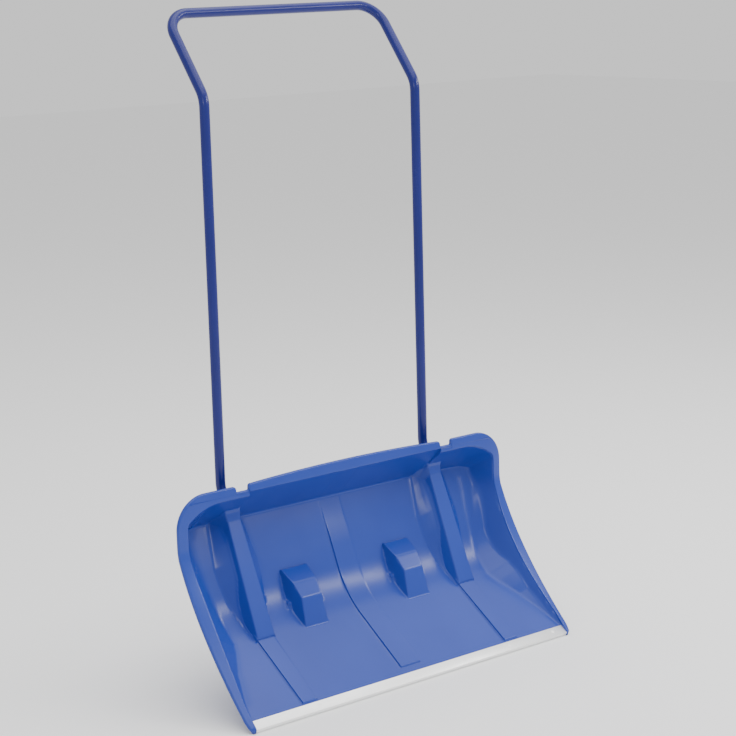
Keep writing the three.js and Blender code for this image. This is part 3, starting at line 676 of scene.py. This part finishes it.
def new_piece(name, points, faces, material, slot, nodes, body="pusher"):
    """A named piece made from a mesh in millimetres, riding on a body in place of CAD nodes."""
    mesh = bpy.data.meshes.new(name)
    mesh.from_pydata(to_row(points).tolist(), [], [list(face) for face in faces])
    mesh.update()
    bm = bmesh.new()
    bm.from_mesh(mesh)
    bmesh.ops.recalc_face_normals(bm, faces=bm.faces)
    bm.to_mesh(mesh)
    bm.free()
    mesh.materials.append(material)
    mesh.shade_smooth()
    mesh.set_sharp_from_angle(angle=math.radians(SHARP_ANGLE))
    piece = bpy.data.objects.new(name, mesh)
    bpy.context.scene.collection.objects.link(piece)
    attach(piece, body)
    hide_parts(*nodes)
    return piece


def rounded_path(corners, step):
    """Points in space along straight runs joined by arcs: each corner is (point, radius)."""
    points = []
    for i, (corner, radius) in enumerate(corners):
        corner = np.array(corner, float)
        if not radius:
            points.append(corner)
            continue
        before = corner - np.array(corners[i - 1][0], float)
        after = np.array(corners[i + 1][0], float) - corner
        before /= np.linalg.norm(before)
        after /= np.linalg.norm(after)
        turn = math.acos(float(before @ after))
        start = corner - before * radius * math.tan(turn / 2)
        inward = after - before
        centre = corner + inward / np.linalg.norm(inward) * radius / math.cos(turn / 2)
        spoke = start - centre
        steps = max(4, round(math.degrees(turn) / step))
        for k in range(steps + 1):
            angle = turn * k / steps
            points.append(centre + spoke * math.cos(angle) + before * radius * math.sin(angle))
    return np.array(points)


def swept_tube(path, radius, sides):
    """A round tube along a path, carried without twist, with a short bore sunk into each end."""
    bore_depth = 16
    runs = np.diff(path, axis=0)
    runs /= np.linalg.norm(runs, axis=1, keepdims=True)
    tangents = np.vstack([runs[:1], runs[:-1] + runs[1:], runs[-1:]])
    tangents /= np.linalg.norm(tangents, axis=1, keepdims=True)
    side = np.cross(tangents[0], (0.0, 1.0, 0.3))
    rings = []
    angles = np.linspace(0, 2 * np.pi, sides, endpoint=False)[:, None]

    def ring(place, tangent, side, size):
        other = np.cross(tangent, side)
        return place + size * (np.cos(angles) * side + np.sin(angles) * other)

    for i, (place, tangent) in enumerate(zip(path, tangents)):
        side = side - tangent * (side @ tangent)
        side /= np.linalg.norm(side)
        if i == 0:
            rings.append(ring(place + tangent * bore_depth, tangent, side, radius - TUBE_WALL))
            rings.append(ring(place, tangent, side, radius - TUBE_WALL))
        rings.append(ring(place, tangent, side, radius))
        if i == len(path) - 1:
            rings.append(ring(place, tangent, side, radius - TUBE_WALL))
            rings.append(ring(place - tangent * bore_depth, tangent, side, radius - TUBE_WALL))
    return lofted(rings)


def handle_path():
    """The handle's centre line from the lower end of one leg to that of the other."""
    axis = housing_top() - BACK_OUT * TUBE_DEPTH
    lower_end = axis + BACK_DOWN * TUBE_END
    lower_bend = axis - BACK_DOWN * (axis[0] / BACK_DOWN[0])
    corners = [(lower_end, 0), (lower_bend, 54), ((0.0, 1149.0), 54), ((-122.0, 1303.3), 50)]
    left = [((-LEG_X, t, z), r) for (t, z), r in corners]
    right = [((LEG_X, t, z), r) for (t, z), r in reversed(corners)]
    return rounded_path(left + right, 2.5)


def wear_strip():
    """The folded edge: a long flat top, a blunt nose and a lower leg."""
    profile = [
        (-EDGE_DEPTH, 0.3), (-EDGE_DEPTH, 1.8), (-18.7, 2.1),
        (1.4, 2.1), (2.0, 1.9), (2.4, 1.4), (2.5, 0.8),
        (2.5, -5.8), (2.4, -6.4), (2.0, -6.9), (1.4, -7.1),
        (-18.7, -7.1), (-EDGE_DEPTH, -6.8), (-EDGE_DEPTH, -5.3),
        (0.3, -5.3), (0.3, 0.3),
    ]
    outline = [FRONT_EDGE + FLOOR_OUT * out + FLOOR_UP * up for out, up in profile]
    inset = []
    for out, up in profile:
        inset.append(FRONT_EDGE + FLOOR_OUT * (out * 0.985 - 0.12) + FLOOR_UP * ((up + 2.5) * 0.94 - 2.5))
    shoulder = EDGE_HALF - 0.4
    rings = []
    for x, line in ((-EDGE_HALF, inset), (-shoulder, outline), (shoulder, outline), (EDGE_HALF, inset)):
        rings.append([(x, p[0], p[1]) for p in line])
    return lofted(rings)


def turned(profile, segments, frame_matrix):
    """A closed profile of (radius, place) turned about an axis."""
    rings = []
    for angle in np.linspace(0, 2 * np.pi, segments, endpoint=False):
        rings.append([(r * math.cos(angle), place, r * math.sin(angle)) for r, place in profile])
    rings = np.array(rings)
    count, sides = rings.shape[:2]
    index = np.arange(count * sides).reshape(count, sides)
    onward = np.roll(index, -1, axis=0)
    faces = []
    for i in range(count):
        for j in range(sides):
            k = (j + 1) % sides
            faces.append((index[i, j], index[i, k], onward[i, k], onward[i, j]))
    return rings.reshape(-1, 3) @ frame_matrix[:3, :3].T + frame_matrix[:3, 3], faces


def frame_at(x, point, direction):
    """Axes with local Y along a side-view direction, or along X when direction is None."""
    along = np.array([1.0, 0, 0]) if direction is None else np.array([0.0, *direction])
    other = np.array([0.0, 1.0, 0]) if direction is None else np.array([1.0, 0, 0])
    third = np.cross(other, along)
    matrix = np.eye(4)
    matrix[:3, 0], matrix[:3, 1], matrix[:3, 2] = other, along, third
    matrix[:3, 3] = (x, *point)
    return matrix


def strip_rivets():
    """Seven rivets along the wear strip, their heads sunk level with its top."""
    place = FRONT_EDGE - FLOOR_OUT * EDGE_DEPTH / 2
    parts = []
    for i in range(7):
        profile = [
            (0.01, -7.14), (2.0, -7.14), (2.0, 0.6), (3.6, 2.0), (3.6, 2.115), (0.01, 2.115),
        ]
        parts.append(turned(profile, 28, frame_at((i - 3) * RIVET_PITCH, place, FLOOR_UP)))
    return merged(parts)


def wheel(side):
    """A small moulded wheel: a long hub, a web and a broad rounded rim."""
    half = [
        (4.3, -26.6), (4.7, -27), (7.1, -27), (7.5, -26.6), (8.4, -4.2), (9.6, -2.8), (11.5, -2.5),
        (20.5, -2.5), (21.8, -3.6), (22.4, -6), (22.8, -12.2), (23.4, -13), (25.2, -13), (26.2, -12.2),
        (26.8, -10.5), (27, -8), (27, -4.4), (26.4, -3.8), (26.4, -3.0), (27, -2.4),
    ]
    profile = half + [(radius, -place) for radius, place in reversed(half)]
    return turned(profile, 72, frame_at(side * ARCH_X, AXLE, None))


# ---- Materials -----------------------------------------------------------------------------------------

class Nodes:
    """A short way to write a material's nodes."""

    def __init__(self, name):
        self.material = bpy.data.materials.new(name)
        self.material.use_nodes = True
        self.tree = self.material.node_tree
        self.shader = self.tree.nodes["Principled BSDF"]
        self.place = self.add("ShaderNodeTexCoord").outputs["Object"]

    def add(self, kind, **inputs):
        node = self.tree.nodes.new(kind)
        for key, value in inputs.items():
            self.put(node.inputs[key.replace("_", " ")], value)
        return node

    def put(self, socket, value):
        if isinstance(value, bpy.types.NodeSocket):
            self.tree.links.new(value, socket)
        else:
            socket.default_value = value

    def noise(self, scale, detail=3.0, stretch=(1, 1, 1)):
        mapping = self.add("ShaderNodeMapping", Vector=self.place, Scale=stretch)
        node = self.add("ShaderNodeTexNoise", Vector=mapping.outputs[0], Scale=scale, Detail=detail)
        return node.outputs["Fac"]

    def range(self, value, low, high, to_low, to_high):
        node = self.tree.nodes.new("ShaderNodeMapRange")
        for key, number in zip(("From Min", "From Max", "To Min", "To Max"), (low, high, to_low, to_high)):
            node.inputs[key].default_value = number
        self.put(node.inputs["Value"], value)
        return node.outputs[0]

    def colour(self, amount, first, second):
        node = self.tree.nodes.new("ShaderNodeMix")
        node.data_type = "RGBA"
        self.put(node.inputs[0], amount)
        node.inputs[6].default_value = (*first, 1)
        node.inputs[7].default_value = (*second, 1)
        return node.outputs[2]

    def bump(self, height, strength, distance):
        node = self.add("ShaderNodeBump", Height=height, Strength=strength, Distance=distance)
        return node.outputs[0]

    def set(self, **inputs):
        for key, value in inputs.items():
            self.put(self.shader.inputs[key.replace("_", " ")], value)
        return self.material


def moulded_blue():
    """Glossy injection-moulded plastic with faint flow marks, fine grain and light scuffs."""
    n = Nodes("moulded_blue")
    flow = n.noise(7.0, 2.0, (1.0, 1.0, 0.4))
    speckle = n.noise(420.0, 2.0)
    scuff = n.noise(14.0, 4.0, (0.6, 1.0, 1.0))
    shade = n.range(flow, 0.3, 0.7, 0.0, 1.0)
    colour = n.colour(shade, (0.015, 0.042, 0.3), (0.019, 0.05, 0.33))
    bump = n.bump(speckle, 0.05, 0.0003)
    return n.set(
        Base_Color=colour, Roughness=n.range(scuff, 0.3, 0.7, 0.22, 0.27), Normal=bump,
        Specular_IOR_Level=0.36,
    )


def painted_tube():
    """Gloss powder coat with a faint orange peel."""
    n = Nodes("painted_tube")
    peel = n.noise(330.0, 2.0)
    patch = n.noise(9.0, 3.0)
    colour = n.colour(n.range(patch, 0.3, 0.7, 0, 1), (0.006, 0.01, 0.13), (0.008, 0.012, 0.15))
    return n.set(
        Base_Color=colour, Roughness=n.range(patch, 0.3, 0.7, 0.2, 0.28), Normal=n.bump(peel, 0.08, 0.0006),
        Specular_IOR_Level=0.36,
    )


def bright_aluminium():
    """Rolled aluminium with fine lines along its length and a few scratches."""
    n = Nodes("bright_aluminium")
    lines = n.noise(900.0, 3.0, (0.02, 1.0, 1.0))
    scratch = n.noise(140.0, 8.0, (0.15, 1.0, 1.0))
    colour = n.colour(n.range(scratch, 0.4, 0.7, 0, 1), (0.96, 0.965, 0.965), (0.92, 0.93, 0.93))
    bump = n.bump(lines, 0.12, 0.0002)
    return n.set(
        Base_Color=colour, Metallic=0.55, Roughness=n.range(scratch, 0.3, 0.7, 0.3, 0.4), Normal=bump,
    )


def zinc_steel():
    """Zinc-plated steel with a mottled bloom."""
    n = Nodes("zinc_steel")
    bloom = n.noise(160.0, 5.0)
    grain = n.noise(1500.0, 2.0)
    colour = n.colour(n.range(bloom, 0.35, 0.65, 0, 1), (0.52, 0.53, 0.54), (0.66, 0.66, 0.65))
    return n.set(
        Base_Color=colour, Metallic=1.0, Roughness=n.range(bloom, 0.3, 0.7, 0.28, 0.5),
        Normal=n.bump(grain, 0.1, 0.0002),
    )


def black_plastic():
    """Matt black moulding with a fine spark-eroded grain and dusty patches."""
    n = Nodes("black_plastic")
    grain = n.noise(1100.0, 3.0)
    dust = n.noise(45.0, 4.0)
    colour = n.colour(n.range(dust, 0.4, 0.75, 0, 1), (0.014, 0.014, 0.016), (0.03, 0.03, 0.032))
    return n.set(
        Base_Color=colour, Roughness=n.range(dust, 0.3, 0.7, 0.45, 0.62), Normal=n.bump(grain, 0.2, 0.0003),
    )


# ---- The object ----------------------------------------------------------------------------------------

BLUE = moulded_blue()
TUBE = painted_tube()
ALUMINIUM = bright_aluminium()
ZINC = zinc_steel()
BLACK = black_plastic()

scoop_parts = [pocket(), rim_band(), front_seat()]
for hand in (-1, 1):
    scoop_parts += [cradle(hand, place) for place in CLAMP_PLACES]
    scoop_parts += axle_sockets(hand)
new_piece("scoop_moulding", *merged(scoop_parts), BLUE, "moulded_blue", ["scoop"])
new_piece(
    "handle_bent_tube", *swept_tube(handle_path(), TUBE_RADIUS, 48), TUBE, "painted_tube", ["handle_tube"],
)
new_piece("folded_wear_strip", *wear_strip(), ALUMINIUM, "aluminium", ["wear_strip"])
new_piece(
    "flush_rivets", *strip_rivets(), ALUMINIUM, "aluminium",
    [f"wear_strip_rivet_{i}" for i in range(1, 8)],
)
for hand, name in ((-1, "left"), (1, "right")):
    new_piece(
        f"rolling_wheel_{name}", *wheel(hand), BLACK, "black_plastic",
        [f"wheel_{name}"], body=f"wheel_{name}",
    )

for name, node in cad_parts.items():
    if name.startswith(("tube_clamp", "clamp_screw", "wheel_axle")):
        node.data.materials.clear()
        node.data.materials.append(ZINC)
    if name.startswith("tube_plug"):
        node.data.materials.clear()
        node.data.materials.append(BLACK)


# ---- Camera, floor and light ---------------------------------------------------------------------------

CENTRE = (Vector(CAD_BOX[0]) + Vector(CAD_BOX[1])) / 2
CAMERA_AZIMUTH = -38.45
CAMERA_ELEVATION = 11.64
CAMERA_ROLL = -1.56
CAMERA_DISTANCE = 3.9
CAMERA_SHIFT = Vector((-0.009, -0.080, -0.043))


def looking(azimuth, elevation):
    """The direction from the object towards a place round it: azimuth 0 is its front."""
    a, e = math.radians(azimuth), math.radians(elevation)
    return Vector((math.sin(a) * math.cos(e), -math.cos(a) * math.cos(e), math.sin(e)))


def add_camera():
    data = bpy.data.cameras.new("camera")
    data.lens = 97.6
    data.sensor_width = 36
    data.clip_end = 60
    camera = bpy.data.objects.new("camera", data)
    bpy.context.scene.collection.objects.link(camera)
    back = looking(CAMERA_AZIMUTH, CAMERA_ELEVATION)
    roll = Matrix.Rotation(math.radians(CAMERA_ROLL), 4, "Z")
    turn = back.to_track_quat("Z", "Y").to_matrix().to_4x4() @ roll
    camera.matrix_world = Matrix.Translation(CENTRE + CAMERA_SHIFT + back * CAMERA_DISTANCE) @ turn
    bpy.context.scene.camera = camera


def add_light(name, azimuth, elevation, distance, size, power):
    """A soft panel facing the object."""
    data = bpy.data.lights.new(name, "AREA")
    data.shape = "RECTANGLE"
    data.size, data.size_y = size
    data.energy = power
    light = bpy.data.objects.new(name, data)
    bpy.context.scene.collection.objects.link(light)
    toward = looking(azimuth, elevation)
    turn = toward.to_track_quat("Z", "Y").to_matrix().to_4x4()
    light.matrix_world = Matrix.Translation(CENTRE + toward * distance) @ turn


def add_floor():
    mesh = bpy.data.meshes.new("floor")
    half = 14
    corners = [(-half, -half, 0), (half, -half, 0), (half, half, 0), (-half, half, 0)]
    mesh.from_pydata(corners, [], [(0, 1, 2, 3)])
    floor = bpy.data.objects.new("floor", mesh)
    bpy.context.scene.collection.objects.link(floor)
    n = Nodes("pale_floor")
    mesh.materials.append(n.set(Base_Color=(0.94, 0.94, 0.94, 1), Roughness=0.9))
    floor.location.z = -0.0005


def add_world():
    world = bpy.data.worlds.new("studio")
    world.use_nodes = True
    world.node_tree.nodes["Background"].inputs[0].default_value = (1, 1, 1, 1)
    world.node_tree.nodes["Background"].inputs[1].default_value = 0.9
    bpy.context.scene.world = world


add_camera()
add_world()
add_floor()
add_light("key", azimuth=0, elevation=78, distance=3.6, size=(4.4, 4.4), power=135)
add_light("sweep", azimuth=50, elevation=28, distance=3.0, size=(2.8, 0.26), power=40)
add_light("edge", azimuth=102, elevation=52, distance=3.2, size=(2.4, 2.4), power=22)
add_light("glint", azimuth=-50, elevation=22, distance=3.0, size=(0.22, 0.3), power=7)
